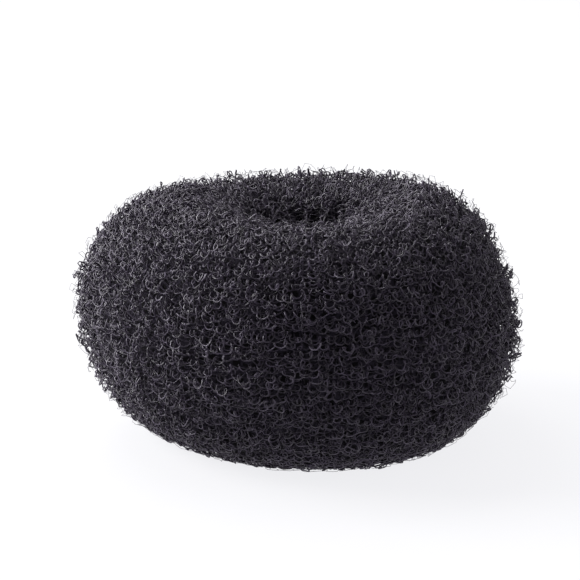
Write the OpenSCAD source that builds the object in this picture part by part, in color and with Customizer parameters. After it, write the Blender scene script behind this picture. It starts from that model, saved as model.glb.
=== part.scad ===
// Hair donut: a sleeve of coarse knitted net, rolled up on itself into one thick soft ring.
// It lies on its foot on the plane Z = 0. The hole that takes the ponytail stands upright on the Z axis.
// The ring is one piece and wound right through, so its section is full and has no hollow.

/* [Ring] */
// Width of the ring across its waist, as the mean of all its sections
ring_w = 100; // [70:1:130]
// Height of the ring from its foot to its crest, as the mean of all its sections
ring_h = 54.5; // [35:0.5:70]
// Width of the flat strip that the ring stands on
foot_w = 7; // [3:0.5:10]

/* [Hole] */
// Clear width of the hole at its neck, between the ridges of the gathers
hole_w = 13; // [8:0.5:22]
// Height of the neck above the foot
neck_z = 27; // [14:0.5:34]
// Number of gathers where the net bunches up in the hole
gather_count = 17; // [9:1:22]
// Depth of a gather at the neck
gather_depth = 1.4; // [0.4:0.1:2]

/* [Roundness] */
// Fullness of the outer shoulder above the waist, where 2 is an ellipse and more is squarer
shoulder_full = 1.9; // [1.7:0.05:2.6]
// Fullness of the outer side below the waist
skirt_full = 1.8; // [1.7:0.05:2.6]
// Fullness of the lip that turns down into the hole at the top
lip_full = 3.2; // [2:0.1:3.6]
// Fullness of the inner side below the neck
under_full = 2.3; // [1.8:0.1:3]

/* [Hidden] */

// The form that the photograph shows, one row for each eighth of a turn from the right by way of the back.
// reach is a share of half ring_w, and waist and crest are shares of ring_h.
// crest_at and foot_at are shares of the way from the neck out to the waist.
REACH = 0;
WAIST = 1;
CREST = 2;
CREST_AT = 3;
FOOT_AT = 4;
FORM = [
    // reach, waist, crest, crest_at, foot_at
    [0.980, 0.430, 1.02, 0.50, 0.475], // right
    [0.975, 0.450, 1.00, 0.50, 0.480],
    [0.985, 0.490, 0.98, 0.48, 0.485], // back
    [1.010, 0.535, 0.98, 0.47, 0.480],
    [1.035, 0.555, 1.02, 0.50, 0.445], // left
    [1.005, 0.540, 1.01, 0.50, 0.420],
    [1.005, 0.510, 0.99, 0.51, 0.490], // front
    [1.005, 0.475, 1.00, 0.50, 0.530]
];

// Sections round the ring, and points on each quarter of a section
section_count = 102;
quarter_count = 8;
// How far the gathers wander from an even spacing, in degrees of their own wave
gather_wander = 55;

// A smooth curve through four table values, from b at t = 0 to c at t = 1
function through(a, b, c, d, t) =
    b + t * (c - a) / 2
    + t * t * (2 * a - 5 * b + 4 * c - d) / 2
    + t * t * t * (3 * b - a - 3 * c + d) / 2;

// The value of one table column at any turn
function around(column, turn) =
    let (rows = len(FORM), u = turn * rows / 360, i = floor(u), t = u - i)
    through(
        FORM[(i + rows - 1) % rows][column],
        FORM[i % rows][column],
        FORM[(i + 1) % rows][column],
        FORM[(i + 2) % rows][column],
        t
    );

// How deep the gathers are at a turn, from 0 on a ridge to gather_depth in a valley
function gather(turn) =
    gather_depth * (1 - cos(gather_count * turn + gather_wander * sin(3 * turn))) / 2;

// A quarter of an oval from [1, 0] towards [0, 1], without its last point
function quarter(full) =
    [for (k = [0 : quarter_count - 1])
        let (a = 90 * k / quarter_count)
        [pow(cos(a), 2 / full), pow(sin(a), 2 / full)]];

// One closed section as [radius, height] points: waist, crest, neck, foot and back to the waist
function section(turn) =
    let (
        waist_r = around(REACH, turn) * ring_w / 2,
        waist_z = around(WAIST, turn) * ring_h,
        crest_z = around(CREST, turn) * ring_h,
        neck_r = hole_w / 2,
        crest_r = neck_r + around(CREST_AT, turn) * (waist_r - neck_r),
        foot_mid = neck_r + around(FOOT_AT, turn) * (waist_r - neck_r),
        foot_in = foot_mid - foot_w / 2,
        foot_out = foot_mid + foot_w / 2,
        fold = gather(turn)
    )
    concat(
        [for (q = quarter(shoulder_full))
            [crest_r + (waist_r - crest_r) * q[0], waist_z + (crest_z - waist_z) * q[1]]],
        [for (q = quarter(lip_full))
            [crest_r - (crest_r - neck_r) * q[1] + fold * q[1] * q[1], neck_z + (crest_z - neck_z) * q[0]]],
        [for (q = quarter(under_full))
            [foot_in - (foot_in - neck_r) * q[0] + fold * q[0] * q[0], neck_z * (1 - q[1])]],
        [[foot_in, 0]],
        [for (q = quarter(skirt_full))
            [foot_out + (waist_r - foot_out) * q[1], waist_z * (1 - q[0])]]
    );

section_points = 4 * quarter_count + 1;

ring_points = [
    for (i = [0 : section_count - 1])
        let (turn = 360 * i / section_count)
        for (p = section(turn))
            [p[0] * cos(turn), p[0] * sin(turn), p[1]]
];

// The number of point j of section i, counted round past the last one
function place(i, j) =
    (i % section_count) * section_points + (j % section_points);

ring_faces = [
    for (i = [0 : section_count - 1])
        for (j = [0 : section_points - 1])
            for (half = [0, 1])
                half == 0
                    ? [place(i, j), place(i, j + 1), place(i + 1, j + 1)]
                    : [place(i, j), place(i + 1, j + 1), place(i + 1, j)]
];

// The whole ring of rolled net
module net_roll() {
    color("#222024")
        polyhedron(points = ring_points, faces = ring_faces, convexity = 6);
}

net_roll();
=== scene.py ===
# %% [markdown]
# # A hair donut of curled nylon net
#
# The real thing is one piece. A sleeve of springy nylon net is rolled up on itself until it is a thick ring,
# and a ponytail goes through its hole. From outside it is nothing but thread: small loops that lie over each
# other like a tangle of springs, with dark gaps where the eye looks into the roll, and a lacy edge that light
# shines through.
#
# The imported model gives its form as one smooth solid. A net that is only painted or bumped on a smooth solid
# would do from far away, but its edge would stay a clean line. So this script keeps the form and dresses it
# in real thread: a net of loops, a second and denser one under it, a few loose filaments over both, and a
# dark core where the inner turns of the roll are.

import math

import bmesh
import bpy
import numpy as np
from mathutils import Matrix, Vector, noise
from mathutils.bvhtree import BVHTree


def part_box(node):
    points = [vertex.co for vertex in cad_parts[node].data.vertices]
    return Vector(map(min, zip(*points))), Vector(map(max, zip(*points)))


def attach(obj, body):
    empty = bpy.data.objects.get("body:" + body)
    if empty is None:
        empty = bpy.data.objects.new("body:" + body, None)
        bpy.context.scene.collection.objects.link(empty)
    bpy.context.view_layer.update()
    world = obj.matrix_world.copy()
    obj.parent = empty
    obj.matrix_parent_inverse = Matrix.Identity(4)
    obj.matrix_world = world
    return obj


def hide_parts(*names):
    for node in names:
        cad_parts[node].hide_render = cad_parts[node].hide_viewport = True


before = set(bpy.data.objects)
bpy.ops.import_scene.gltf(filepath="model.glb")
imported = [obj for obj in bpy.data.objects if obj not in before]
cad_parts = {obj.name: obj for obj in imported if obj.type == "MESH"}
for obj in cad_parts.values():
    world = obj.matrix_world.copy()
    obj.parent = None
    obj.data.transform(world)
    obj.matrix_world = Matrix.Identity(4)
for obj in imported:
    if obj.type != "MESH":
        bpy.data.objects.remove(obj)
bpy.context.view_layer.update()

# %% [markdown]
# ## The form as a table
#
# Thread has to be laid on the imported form, so the form is needed as a function: a share of a turn round the
# ring and a share of the way round its section give a point. Rays are cast from the middle of the section,
# like spokes, and each section is then divided evenly by its length, so that rows at even shares come out
# evenly spaced.

# %% Read the form of the ring
MM = 0.001
TURNS = 144  # sections round the ring
SPOKES = 240  # rays in a section
SHARES = 200  # entries of the table in a section

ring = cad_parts["net_roll"]
ring_low, ring_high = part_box("net_roll")
tree = BVHTree.FromPolygons(
    [vert.co.copy() for vert in ring.data.vertices],
    [tuple(face.vertices) for face in ring.data.polygons],
)
middle_z = (ring_low.z + ring_high.z) / 2
outer_r = (ring_high.x - ring_low.x + ring_high.y - ring_low.y) / 4
neck_r = tree.ray_cast(Vector((0, 0, middle_z)), Vector((1, 0, 0)))[3]
middle_r = (outer_r + neck_r) / 2


def section_at(turn):
    """A section of the ring: points at even steps from the waist up over the crest, and its length."""
    out = Vector((math.cos(math.tau * turn), math.sin(math.tau * turn), 0))
    hits = []
    for k in range(SPOKES):
        angle = math.tau * k / SPOKES
        spoke = out * math.cos(angle) + Vector((0, 0, math.sin(angle)))
        hits.append(tree.ray_cast(out * middle_r + Vector((0, 0, middle_z)), spoke)[0])
    points = np.array(hits + hits[:1])
    length = np.concatenate([[0], np.cumsum(np.linalg.norm(np.diff(points, axis=0), axis=1))])
    at = np.arange(SHARES) / SHARES * length[-1]
    return np.stack([np.interp(at, length, points[:, axis]) for axis in range(3)], 1), length[-1]


sections = [section_at(i / TURNS) for i in range(TURNS)]
skin = np.stack([points for points, _ in sections])
girth = float(np.mean([length for _, length in sections]))
reach = np.hypot(skin[..., 0], skin[..., 1]).mean(0)
print(f"section {girth / MM:.0f} mm round, reach {reach.min() / MM:.1f} to {reach.max() / MM:.1f} mm")

# %% [markdown]
# The direction outward at each entry comes from its neighbours in the table: a step round the ring crossed
# with a step round the section. Between the entries the tables are blended.

# %% Directions on the form
round_the_ring = np.roll(skin, -1, 0) - np.roll(skin, 1, 0)
round_the_section = np.roll(skin, -1, 1) - np.roll(skin, 1, 1)
outward = np.cross(round_the_ring, round_the_section)
outward /= np.linalg.norm(outward, axis=2, keepdims=True)


def sample(table, turn, share):
    """A table's values between its entries. The table closes on itself in both directions."""
    rows, columns = table.shape[:2]
    u = (turn % 1) * rows
    v = (share % 1) * columns
    i = u.astype(int)
    j = v.astype(int)
    s = (u - i)[:, None]
    t = (v - j)[:, None]
    i %= rows
    j %= columns
    k = (i + 1) % rows
    m = (j + 1) % columns
    return (1 - s) * ((1 - t) * table[i, j] + t * table[i, m]) + s * ((1 - t) * table[k, j] + t * table[k, m])


print(f"outward reads {len(skin)} sections of {SHARES} points")

# %% [markdown]
# The roll's own weight and its tight winding press the net flat where it stands on the table. Higher up it
# springs out again. So every height over the form, and every depth under it, is multiplied by a share that
# falls towards the foot. Into the hole the net is pulled tight, and lies up to one and a half millimetres
# lower there.

# %% Place a point over the form
SPRINGS_FREE_AT = 12 * MM
PRESSED = 0.3  # what is left of a height at the foot
LEAST_Z = 0.18 * MM  # a thread that lies on the table has its middle this high
LOOSE_R = 27 * MM  # nearer to the axis than this, the net begins to be pulled tight
TIGHT_R = 20 * MM  # and from here inwards it is as tight as it gets
PULLED_IN = 1.5 * MM  # how much lower a tight net lies


def spring(z):
    """The share of its height that the net keeps at this distance from the table."""
    return np.clip(z / SPRINGS_FREE_AT, PRESSED, 1)


def tightness(points):
    """From 0 where the net lies loose to 1 where it is pulled into the hole."""
    return np.clip((LOOSE_R - np.hypot(points[:, 0], points[:, 1])) / (LOOSE_R - TIGHT_R), 0, 1)


def lift(points, height):
    """How far over the form a net at this height comes to lie, at points of the form."""
    return (height - PULLED_IN * tightness(points)) * spring(points[:, 2])


def place(turn, share, height):
    """Points at shares of a turn and of a section, at heights over the form, and never under the table."""
    points = sample(skin, turn, share)
    points += lift(points, height)[:, None] * sample(outward, turn, share)
    points[:, 2] = np.maximum(points[:, 2], LEAST_Z)
    return points


print(f"the net keeps {spring(0):.0%} of its height at the foot")

# %% [markdown]
# ## What makes the net uneven
#
# Real net of this kind is knitted flat and regular, then heat-set while it is scrunched up. Neighbouring
# loops are pushed the same way, so pure chance at each point would look wrong. A smooth noise field does it
# right: two points that lie close together get almost the same push, and two that are further apart than its
# size get any other. The crimp of the thread is finer than that, and comes from chance that is smoothed only
# once.
#
# Blender starts its noise from the clock unless it is given a seed, so both kinds of chance get one. The net
# is then the same in every run.

# %% Smooth pushes and small kinks
NOISE_SPREAD = 0.35  # the spread of Blender's noise, so that a push comes out at about 1
KINK_SPREAD = 0.61  # what is left of a spread of 1 after the smoothing below
CRIMP = 0.08 * MM  # spread of the small kinks in the thread
SEED = 5048

FIELDS = {"first side": 0, "second side": 17, "wander": 31, "ahead": 50, "size": 71, "bow": 80, "rib": 90}
APART = 100  # from the fields of one layer to those of the next, in the same steps as above

noise.seed_set(SEED)
rng = np.random.default_rng(SEED)


def field(points, size, kind, layer_number):
    """A smooth random push at each point, over a length of size. Each kind and layer has its own."""
    start = FIELDS[kind] + APART * layer_number
    return np.array([noise.noise_vector(Vector(point / size + start)) for point in points]) / NOISE_SPREAD


def kinks(count):
    """A closed run of small random shifts in all three directions."""
    values = rng.normal(0, 1, (count, 3))
    values = (np.roll(values, 1, 0) + 2 * values + np.roll(values, -1, 0)) / 4
    return values * CRIMP / KINK_SPREAD


print(f"kinks spread over {kinks(SHARES).std() / MM:.2f} mm")

# %% [markdown]
# ## The plane of a loop
#
# A loop hangs more or less upright and faces outward, and its shining arc draws one of the small round cells
# that the net shows. Pure chance would turn every second loop on edge, and the net would look like fur. So
# each loop starts from this one pose and is turned from it by less than chance would. Here and there one
# stands right out of the net: from the front it is a bright knot, and at the edge of the ring it is a small
# eye of thread with light behind it. Directions are written as shares along the row, across it and outward.

# %% The plane of a loop
FIRST_SIDE = (0.9, 0.3, 0.0)  # a loop with this pose faces outward and leans a little
SECOND_SIDE = (-0.3, 0.9, -0.2)
TURNING = 0.45  # at 0 all loops have the same pose, and over 1 none keeps it
TURN_SIZE = 2.8 * MM  # over this length the loops turn to another side
UPRIGHT = 0.7  # at 0 loops lie along the form everywhere, and at 1 they are upright everywhere
STANDING = 1.8  # how steeply a raised loop stands out


def unit(vectors):
    """The same directions with a length of 1."""
    return vectors / np.linalg.norm(vectors, axis=1, keepdims=True)


def loop_plane(base, turn, share, raised, layer_number):
    """The two directions that the loop at each point is drawn in, at right angles to each other."""
    lean = sample(outward, turn, share)[:, 2] * np.sign(sample(round_the_section, turn, share)[:, 2])
    first = unit(FIRST_SIDE + TURNING * field(base, TURN_SIZE, "first side", layer_number))
    second = unit(SECOND_SIDE + TURNING * field(base, TURN_SIZE, "second side", layer_number))
    second[:, 2] += STANDING * raised + UPRIGHT * lean
    second -= (first * second).sum(1, keepdims=True) * first
    return first, unit(second)


first, second = loop_plane(skin[:, 0], np.arange(TURNS) / TURNS, np.zeros(TURNS), np.zeros(TURNS), 0)
facing = np.abs(np.cross(first, second)[:, 2]).mean()
print(f"at the waist, {facing:.0%} of a loop's face is turned outward")

# %% [markdown]
# ## A row of loops
#
# A knitted stitch could be drawn as the exact path of its thread, over and under its neighbours. In this net
# the stitches are pulled out of shape until only curls are left, so a curl is what is drawn: the point goes
# round in a loop while the loop moves on along the row, like a telephone lead. A loop is not quite flat
# either. It is bowed like a saddle, which a loop that is pulled at four places takes on by itself.
#
# The sleeve has as many loops round it at the hole as at its waist. They crowd together there, and most of
# them are hidden in the folds, so only those are drawn that still show.

# %% Rows round the ring
BUNCHED_R = 32 * MM  # nearer to the axis than this, the net is bunched
BUNCHED = 0.75  # how far apart rows and loops are there, as a share of their distances at the waist


def row_shares(spacing):
    """The shares of the section at which the rows of a layer lie."""
    gaps = spacing * np.where(reach < BUNCHED_R, BUNCHED, 1)
    count = np.concatenate([[0], np.cumsum(girth / SHARES / gaps)])
    rows = int(count[-1])
    return np.interp(np.arange(rows) / rows * count[-1], count, np.arange(SHARES + 1) / SHARES)


print(f"at 2 mm apart there are {len(row_shares(2 * MM))} rows")

# %% [markdown]
# Inside a layer each loop has a depth and a size of its own. Few lie high and many low, which makes the net
# open at its surface and dense deeper down, and that is why the edge of the real one fades out instead of
# ending in a line. The thread can't jump, so a value that is drawn for each loop is blended into the next.

# %% Depth and size of the loops
FEW = 5  # the higher this power, the fewer loops stand out
SINKING = 0.5  # under 1, more loops lie low in their layer than high
SIZE_CHANGE = 0.13  # spread of the loops' sizes
SIZE_CHANGE_OVER = 2.6 * MM  # over this length the loops get another size
SMALLEST = 0.55
LARGEST = 1.5


def loop_by_loop(values, t):
    """A value for each loop of a row, blended from loop to loop at the points. t counts loops."""
    step = np.floor(t).astype(int)
    blend = (1 - np.cos(math.pi * (t - step))) / 2
    return (1 - blend) * values[step] + blend * values[(step + 1) % len(values)]


def loop_radii(base, layer, gap, layer_number):
    """The radius of the loop at each point, smaller where the gap from loop to loop is narrower."""
    crowded = math.sqrt(min(1, gap / layer["pitch"]))
    change = 1 + SIZE_CHANGE * field(base, SIZE_CHANGE_OVER, "size", layer_number)[:, 0]
    return layer["radius"] * crowded * np.clip(change, SMALLEST, LARGEST)


print(f"{1 - 0.5 ** (1 / FEW):.0%} of the loops stand out by more than half")

# %% [markdown]
# The loops of one row hang in those of the next, so they stand over each other in columns, which show best
# low on the front. A smooth push that neighbours share lets rows and columns wander, so that no straight
# lines show, and a column stands out or lies back over some length as a faint rib. Where the net is pulled
# into the hole, its loops are drawn out long and narrow, which hides the rows there.

# %% One row of loops
RISE = 0.3 * MM  # how far the middle of a standing loop is lifted
AHEAD = 0.6  # how far a loop runs ahead of the next, in radians
LOOP_SHAPE = (0.97, 1.12, 0.95)  # a loop's size along the row, across it and outward
STRETCHED = 0.5  # how much longer a loop gets in the hole
STRETCH_WAYS = (-1, 1, 0)  # narrower along the row, longer across it, and no thicker
BOW = 0.25  # how far a loop is bowed, as a share of its radius
WANDER = np.array((0.3, 0.6, 0.0)) * MM  # along the row, across it and outward
WANDER_OVER = 4.0 * MM
RIB = 0.45 * MM  # how far a column stands out or lies back
RIB_SIZE = 1.5 * MM  # about the width of a rib
RIB_DRIFT = 0.25  # at 1 a rib is as short as it is wide, and at 0 it runs all the way round the section


def curl(layer, share, layer_number):
    """One row of a layer at a share of the section, as a closed run of points."""
    at = float(np.interp(share, np.arange(SHARES) / SHARES, reach))
    room = at / BUNCHED if at < BUNCHED_R else outer_r
    loops = round(math.tau * room / layer["pitch"])
    count = loops * layer["bends"]
    t = np.arange(count) / layer["bends"]
    level = np.full(count, share)
    base = place(t / loops, level, np.zeros(count))
    raised = loop_by_loop(rng.random(loops) ** FEW, t)
    sunk = loop_by_loop(rng.random(loops) ** SINKING, t)
    first, second = loop_plane(base, t / loops, level, raised, layer_number)
    angle = math.tau * t + AHEAD * field(base, TURN_SIZE, "ahead", layer_number)[:, 0]
    radii = loop_radii(base, layer, math.tau * at / loops, layer_number)
    shift = radii[:, None] * (np.cos(angle)[:, None] * first + np.sin(angle)[:, None] * second) * LOOP_SHAPE
    shift *= (1 + STRETCHED * tightness(base))[:, None] ** STRETCH_WAYS
    shift += WANDER * field(base, WANDER_OVER, "wander", layer_number) + kinks(count)
    bow = BOW * radii * np.cos(2 * angle + field(base, TURN_SIZE, "bow", layer_number)[:, 0])
    around = math.tau * t / loops
    column = np.column_stack([outer_r * np.cos(around), outer_r * np.sin(around), RIB_DRIFT * girth * level])
    ribs = RIB * field(column, RIB_SIZE, "rib", layer_number)[:, 0]
    height = layer["high"] - (layer["high"] - layer["low"]) * sunk + RISE * raised + ribs + bow + shift[:, 2]
    return place(t / loops + shift[:, 0] / (math.tau * at), share + shift[:, 1] / girth, height)


print(f"in the hole a loop is drawn out to {1 + STRETCHED:.1f} times its length")

# %% [markdown]
# ## From points to thread
#
# A curve carries many rows, with one closed spline for each, and a triangle as its bevel gives the thread its
# thickness. A round bevel would look the same and have several times the faces: the thread is hardly more
# than a pixel wide, and with three sides to it, about a hundred and sixty thousand bends stay within reach.
# The curve is then made a mesh, so that the export finds plain faces.

# %% From points to thread
THREAD_SIDES = 3
PIECE_BENDS = 31000  # keeps every piece under two hundred thousand triangles


def thread_section(thread_r):
    """A small triangle, as a curve that others use as their bevel."""
    curve = bpy.data.curves.new("thread_section", "CURVE")
    spline = curve.splines.new("POLY")
    spline.points.add(THREAD_SIDES - 1)
    for k, point in enumerate(spline.points):
        angle = -math.tau * k / THREAD_SIDES
        point.co = (thread_r * math.cos(angle), thread_r * math.sin(angle), 0, 1)
    spline.use_cyclic_u = True
    section = bpy.data.objects.new("thread_section", curve)
    bpy.context.scene.collection.objects.link(section)
    return section


def spin_thread(name, rows, thread_r, material):
    """One mesh piece made of closed rows of thread. Returns its number of triangles."""
    section = thread_section(thread_r)
    curve = bpy.data.curves.new(name, "CURVE")
    curve.dimensions = "3D"
    curve.bevel_mode = "OBJECT"
    curve.bevel_object = section
    for points in rows:
        spline = curve.splines.new("POLY")
        spline.points.add(len(points) - 1)
        spline.points.foreach_set("co", np.column_stack([points, np.ones(len(points))]).ravel())
        spline.use_cyclic_u = True
    bare = bpy.data.objects.new(name, curve)
    bpy.context.scene.collection.objects.link(bare)
    bpy.context.view_layer.update()
    mesh = bpy.data.meshes.new_from_object(bare.evaluated_get(bpy.context.evaluated_depsgraph_get()))
    mesh.name = name
    for used in (bare, section):
        data = used.data
        bpy.data.objects.remove(used)
        bpy.data.curves.remove(data)
    mesh.materials.clear()
    mesh.materials.append(material)
    mesh.shade_smooth()
    piece = bpy.data.objects.new(name, mesh)
    bpy.context.scene.collection.objects.link(piece)
    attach(piece, "root")
    return sum(len(face.vertices) - 2 for face in mesh.polygons)


print(f"each bend of a thread takes {2 * THREAD_SIDES} triangles")

# %% [markdown]
# ## Colours and nodes
#
# Shaders work in linear light, and a colour is easier to pick as the hex code of what the eye sees, so one
# function turns the one into the other. Another adds a node and joins it up in one call, which keeps a
# material readable.

# %% Colours and nodes
def to_linear(code):
    """Linear red, green, blue and alpha of an sRGB hex colour."""
    parts = [int(code[k:k + 2], 16) / 255 for k in (1, 3, 5)]
    return [p / 12.92 if p <= 0.04045 else ((p + 0.055) / 1.055) ** 2.4 for p in parts] + [1.0]


def add(tree_of_nodes, kind, inputs=None, **settings):
    """Adds a node. A value in inputs is set on its socket, and another node's output is linked to it."""
    node = tree_of_nodes.nodes.new(kind)
    for name, value in settings.items():
        setattr(node, name, value)
    for name, value in (inputs or {}).items():
        if isinstance(value, bpy.types.NodeSocket):
            tree_of_nodes.links.new(value, node.inputs[name])
        else:
            node.inputs[name].default_value = value
    return node


def new_material(name):
    """An empty material and its node tree."""
    material = bpy.data.materials.new(name)
    material.use_nodes = True
    material.node_tree.nodes.clear()
    return material, material.node_tree


print(f"the mid grey #808080 is {to_linear('#808080')[0]:.3f} in linear light")

# %% [markdown]
# ## Crimped nylon thread
#
# The thread is crimped nylon monofilament, dyed black through and through, which light turns a little
# violet. It shines like plastic, but the crimping leaves fine ridges on it, so its highlights are short and
# soft. Every few millimetres its colour is painted lighter, a painted sheen for the shine that comes and goes
# along the thread, and there it is also rougher and duller. The ridges are about a tenth of a millimetre
# apart. They would not show, so they are drawn three times as coarse.

# %% Crimped nylon thread
SHEEN_PATCH_SIZE = 2.0 * MM
RIDGE_SIZE = 0.3 * MM
RIDGE_HEIGHT = 0.02 * MM
SMOOTH = 0.35  # up to this value of the noise the thread has no painted sheen and is as smooth as it gets
FULL_SHEEN_FROM = 0.65  # and from this value on its painted sheen is lightest and it is as dull as it gets

nylon, nylon_nodes = new_material("crimped_nylon_thread")
on_thread = add(nylon_nodes, "ShaderNodeTexCoord").outputs["Object"]
in_patches = {"Vector": on_thread, "Scale": 1 / SHEEN_PATCH_SIZE, "Detail": 3.0}
sheen_patches = add(nylon_nodes, "ShaderNodeTexNoise", in_patches)
# painted sheen: noise patches lighten the thread's colour where its shine would come and go
painted_sheen = add(nylon_nodes, "ShaderNodeValToRGB", {"Fac": sheen_patches.outputs["Fac"]})
painted_sheen.color_ramp.elements[0].position = SMOOTH
painted_sheen.color_ramp.elements[0].color = to_linear("#231c28")
painted_sheen.color_ramp.elements[1].position = FULL_SHEEN_FROM
painted_sheen.color_ramp.elements[1].color = to_linear("#3d3447")
dulling = add(nylon_nodes, "ShaderNodeMapRange", {
    "Value": sheen_patches.outputs["Fac"],
    "From Min": SMOOTH,
    "From Max": FULL_SHEEN_FROM,
    "To Min": 0.46,
    "To Max": 0.55,
})
finely = {"Vector": on_thread, "Scale": 1 / RIDGE_SIZE, "Detail": 1.0}
unevenness = add(nylon_nodes, "ShaderNodeTexNoise", finely)
ridges = add(nylon_nodes, "ShaderNodeBump", {
    "Height": unevenness.outputs["Fac"],
    "Strength": 0.5,
    "Distance": RIDGE_HEIGHT,
})
surface = add(nylon_nodes, "ShaderNodeBsdfPrincipled", {
    "Base Color": painted_sheen.outputs["Color"],
    "Roughness": dulling.outputs["Result"],
    "IOR": 1.53,
    "Normal": ridges.outputs["Normal"],
})
add(nylon_nodes, "ShaderNodeOutputMaterial", {"Surface": surface.outputs["BSDF"]})
print(f"{nylon.name}: {len(nylon_nodes.nodes)} nodes")

# %% [markdown]
# ## Lay the net
#
# The sizes were read from the photograph, where a millimetre is 4.4 pixels, or are what such net measures.
# The outermost net lies loose over the one below it, which is a little denser, and the eye sees that one
# through its gaps. A few finer filaments stand off the net as a faint haze. They are far thinner than the
# thread, and are drawn a tenth of a millimetre across, since a real one would not show.
#
# Each layer is laid row by row, and then shared out over a few pieces, so that none gets too heavy.

# %% Lay the net
LAYERS = {  # pitch is from loop to loop, spacing from row to row, and high and low are heights over the form
    "loose_filaments": {
        "thread_r": 0.05 * MM, "radius": 0.9 * MM, "bends": 5,
        "pitch": 4.0 * MM, "spacing": 3.6 * MM, "high": 1.5 * MM, "low": -0.2 * MM,
    },
    "outer_net": {
        "thread_r": 0.17 * MM, "radius": 0.8 * MM, "bends": 8,
        "pitch": 1.85 * MM, "spacing": 1.8 * MM, "high": 0.85 * MM, "low": -2.2 * MM,
    },
    "inner_net": {
        "thread_r": 0.175 * MM, "radius": 0.82 * MM, "bends": 5,
        "pitch": 1.8 * MM, "spacing": 1.7 * MM, "high": -1.1 * MM, "low": -3.4 * MM,
    },
}

triangles = 0
for layer_number, (name, layer) in enumerate(LAYERS.items()):
    rows = [curl(layer, share, layer_number) for share in row_shares(layer["spacing"])]
    laid = np.cumsum([len(points) for points in rows])
    parts = math.ceil(laid[-1] / PIECE_BENDS)
    ends = [0, *np.searchsorted(laid, np.arange(1, parts) / parts * laid[-1]), len(rows)]
    for part in range(parts):
        own_rows = rows[ends[part]:ends[part + 1]]
        size = spin_thread(f"{name}_{part + 1}", own_rows, layer["thread_r"], nylon)
        triangles += size
        print(f"{name}_{part + 1}: {len(own_rows)} rows, {size} triangles")
print(f"net: {triangles} triangles")

# %% [markdown]
# ## Net deep in the roll
#
# Under the outer net lie the inner turns of the same sleeve. They are the same black nylon, but little light
# reaches them and no shine comes back, so all that shows is a dark, dull ground with a hint of cells. More
# layers of thread would cost many faces that nobody sees. A cell pattern does it, with cells of about the
# size of the loops, lighter along their edges where thread runs, and in a low relief. Its darkness is painted
# shade: the colour is darker than the thread's own, and near black in the open middles of the cells.

# %% Net deep in the roll
CELL_SIZE = 2.1 * MM
CELL_RELIEF = 0.3 * MM
THREAD_EDGE = 0.06  # nearer to the edge of a cell than this share of its size there is thread
SHADED_GAP_FROM = 0.16  # and from here to its middle it is an open gap, painted near black as shade

deep_net, deep_nodes = new_material("rolled_nylon_net")
on_core = add(deep_nodes, "ShaderNodeTexCoord").outputs["Object"]
in_cells = {"Vector": on_core, "Scale": 1 / CELL_SIZE}
cells = add(deep_nodes, "ShaderNodeTexVoronoi", in_cells, feature="DISTANCE_TO_EDGE")
# painted shade: the cell middles are coloured near black for the shade deep in the roll, the edges a little
# lighter as thread
painted_gap_shade = add(deep_nodes, "ShaderNodeValToRGB", {"Fac": cells.outputs["Distance"]})
painted_gap_shade.color_ramp.elements[0].position = THREAD_EDGE
painted_gap_shade.color_ramp.elements[0].color = to_linear("#2c2833")
painted_gap_shade.color_ramp.elements[1].position = SHADED_GAP_FROM
painted_gap_shade.color_ramp.elements[1].color = to_linear("#100e12")
relief = add(deep_nodes, "ShaderNodeBump", {
    "Height": cells.outputs["Distance"],
    "Strength": 0.6,
    "Distance": CELL_RELIEF,
}, invert=True)
surface = add(deep_nodes, "ShaderNodeBsdfPrincipled", {
    "Base Color": painted_gap_shade.outputs["Color"],
    "Roughness": 0.9,
    "IOR": 1.53,
    "Specular IOR Level": 0.15,
    "Normal": relief.outputs["Normal"],
})
add(deep_nodes, "ShaderNodeOutputMaterial", {"Surface": surface.outputs["BSDF"]})
print(f"{deep_net.name}: {len(deep_nodes.nodes)} nodes")

# %% [markdown]
# ## The rolled core
#
# The inner turns fill the ring right through, so their shape is the form itself, drawn in by a few
# millimetres and smoothed. It is a copy of the imported solid, pushed inwards along its own normals, which
# keeps the gathers of the hole. It stands for that solid. The roll is soft and springs back.

# %% The rolled core
CORE_DEPTH = 4.1 * MM
SAME_POINT = 0.01 * MM  # vertices closer than this are one
SOFTENED = 0.5  # at 1 each vertex moves all the way to the middle of its neighbours

core_mesh = bpy.data.meshes.new("rolled_core")
shape = bmesh.new()
shape.from_mesh(ring.data)
bmesh.ops.remove_doubles(shape, verts=shape.verts, dist=SAME_POINT)
shape.normal_update()
lifts = lift(np.array([vert.co for vert in shape.verts]), -CORE_DEPTH)
for vert, by in zip(shape.verts, lifts):
    vert.co += vert.normal * float(by)
bmesh.ops.smooth_vert(
    shape, verts=shape.verts, factor=SOFTENED, use_axis_x=True, use_axis_y=True, use_axis_z=True
)
shape.to_mesh(core_mesh)
shape.free()
core_mesh.shade_smooth()
core_mesh.materials.append(deep_net)
core = bpy.data.objects.new("rolled_core", core_mesh)
bpy.context.scene.collection.objects.link(core)
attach(core, "root")
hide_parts("net_roll")
print(f"rolled_core: {len(core_mesh.polygons)} triangles")

# %% [markdown]
# ## The table
#
# The ring stands on a sheet of white acrylic that is lit from below, as for a catalogue picture. The sheet's
# own glow makes the white ground, and only the little light that it reflects can be shaded, which leaves a
# faint soft shadow. It is matt, and its gloss is turned down, so that it mirrors neither ring nor room.

# %% The table
TABLE_R = 5.0  # so wide that its edge is out of sight even in a low view
GLOW = 0.855  # with the light that the sheet reflects, this comes out just white

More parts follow.
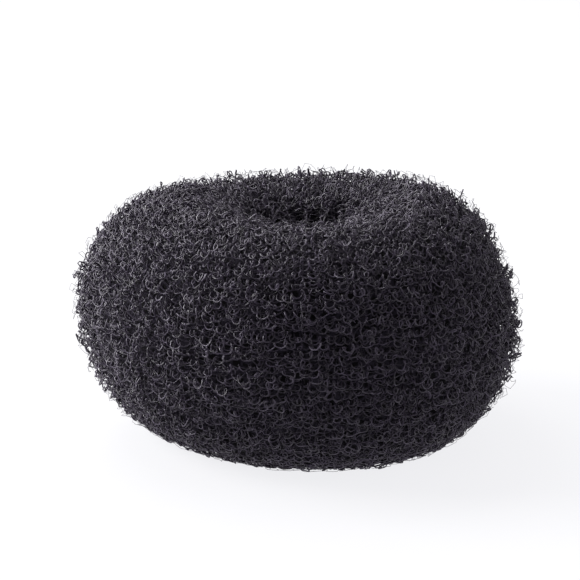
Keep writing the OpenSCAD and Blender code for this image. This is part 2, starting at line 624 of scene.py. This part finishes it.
table_mesh = bpy.data.meshes.new("light_table")
shape = bmesh.new()
bmesh.ops.create_circle(shape, cap_ends=True, segments=64, radius=TABLE_R)
shape.to_mesh(table_mesh)
shape.free()
table = bpy.data.objects.new("light_table", table_mesh)
bpy.context.scene.collection.objects.link(table)
sheet, sheet_nodes = new_material("white_acrylic_sheet")
surface = add(sheet_nodes, "ShaderNodeBsdfPrincipled", {
    "Base Color": to_linear("#555555"),
    "Roughness": 0.7,
    "IOR": 1.49,
    "Specular IOR Level": 0.1,
    "Emission Color": to_linear("#fcfcff"),
    "Emission Strength": GLOW,
})
add(sheet_nodes, "ShaderNodeOutputMaterial", {"Surface": surface.outputs["BSDF"]})
table_mesh.materials.append(sheet)
print(f"light_table: {TABLE_R * 2:.0f} m across")

# %% [markdown]
# ## Studio light
#
# Black thread shows its form only by its highlights, so the light decides how the net reads. A bright room
# behind the ring and a dim one in front of it model its round body. A softbox overhead lights the shoulder
# and reaches into the hole, a stronger one at the left brings out the loops on that side, and a weak one at
# the right keeps that side from going flat.

# %% Studio light
FRONT = 0.25  # how bright the room is in front of the ring
BACK = 0.8  # and behind it

world = bpy.data.worlds.new("studio")
bpy.context.scene.world = world
world.use_nodes = True
room = world.node_tree
direction = add(room, "ShaderNodeTexCoord")
axes = add(room, "ShaderNodeSeparateXYZ", {"Vector": direction.outputs["Generated"]})
strength = add(room, "ShaderNodeMapRange", {
    "Value": axes.outputs["Y"],
    "From Min": -0.6,
    "From Max": 0.5,
    "To Min": FRONT,
    "To Max": BACK,
}, interpolation_type="SMOOTHSTEP")
room.links.new(strength.outputs["Result"], room.nodes["Background"].inputs["Strength"])
room.nodes["Background"].inputs["Color"].default_value = to_linear("#ffffff")


def softbox(name, spot, width, watts):
    """A square light of this width at a spot, turned to the middle of the ring."""
    light = bpy.data.lights.new(name, "AREA")
    light.shape = "SQUARE"
    light.size = width
    light.energy = watts
    lamp = bpy.data.objects.new(name, light)
    bpy.context.scene.collection.objects.link(lamp)
    lamp.location = spot
    lamp.rotation_euler = (Vector((0, 0, middle_z)) - Vector(spot)).to_track_quat("-Z", "Y").to_euler()
    print(f"{name}: {width} m, {watts} W")


softbox("top_softbox", (-0.3, 0.45, 0.8), 0.5, 5.2)
softbox("left_softbox", (-0.9, 0.2, 0.5), 0.6, 23.5)
softbox("right_softbox", (0.9, -0.1, 0.5), 0.5, 2.0)

# %% [markdown]
# ## The camera
#
# The camera stands where the photographer's did: in front, some sixteen degrees above the table, and far
# enough away for the small perspective that the hole shows. Its shift puts the middle of the ring on the
# pixel where the photograph has it.

# %% The camera
PHOTO_SIDE = 580
AIM_PIXEL = (303.61, 310.65)  # where the photograph has the middle of the ring
AIM_HEIGHT = 27.25 * MM
ELEVATION = math.radians(15.72)
DISTANCE = 0.6
FOCAL_PIXELS = 2624.9  # the focal length in pixels of the photograph
SENSOR = 36.0

lens = bpy.data.cameras.new("camera")
lens.sensor_width = SENSOR
lens.lens = FOCAL_PIXELS / PHOTO_SIDE * SENSOR
lens.shift_x = (PHOTO_SIDE / 2 - AIM_PIXEL[0]) / PHOTO_SIDE
lens.shift_y = (AIM_PIXEL[1] - PHOTO_SIDE / 2) / PHOTO_SIDE
camera = bpy.data.objects.new("camera", lens)
bpy.context.scene.collection.objects.link(camera)
aim = Vector((0, 0, AIM_HEIGHT))
view = Vector((0, math.cos(ELEVATION), -math.sin(ELEVATION)))
camera.location = aim - DISTANCE * view
camera.rotation_euler = view.to_track_quat("-Z", "Y").to_euler()
bpy.context.scene.camera = camera
bpy.context.scene.view_settings.view_transform = "Standard"
print(f"camera: {lens.lens:.0f} mm lens at {DISTANCE} m")
